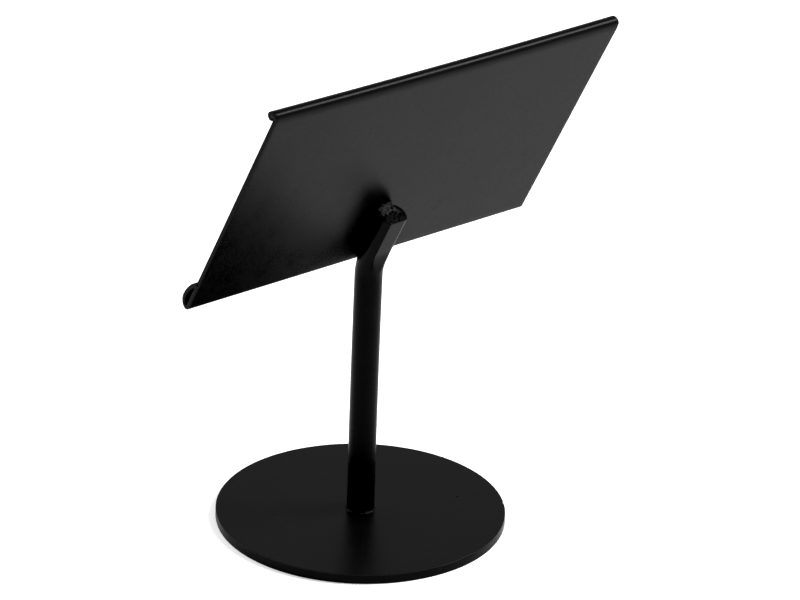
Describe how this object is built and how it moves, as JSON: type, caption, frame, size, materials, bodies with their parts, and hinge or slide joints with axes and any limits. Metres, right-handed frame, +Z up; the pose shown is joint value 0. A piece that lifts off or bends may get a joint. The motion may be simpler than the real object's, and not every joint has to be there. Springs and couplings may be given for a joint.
{
  "type": "tabletop sign stand",
  "caption": "Tabletop sign stand: a round steel base, a bent round post and a tilted folded plate that holds a card.",
  "frame": {"origin": "centre of the round base's underside, on the surface the stand rests on", "axes": "+Z up along the post, +Y towards the plate's plain back, X along the plate's width; the sign faces -Y and upwards"},
  "size_m": [0.1474, 0.1016, 0.1827],
  "materials": {
    "black_powder_coat": "satin black powder coat with a fine orange peel, on mild steel",
    "coated_weld": "the same black powder coat over a rougher weld bead"
  },
  "bodies": {
    "root": {"base_disc": "black_powder_coat", "post": "black_powder_coat", "card_plate": "black_powder_coat", "foot_weld": "coated_weld", "plate_weld_top": "coated_weld", "plate_weld_bottom": "coated_weld"}
  },
  "joints": []
}
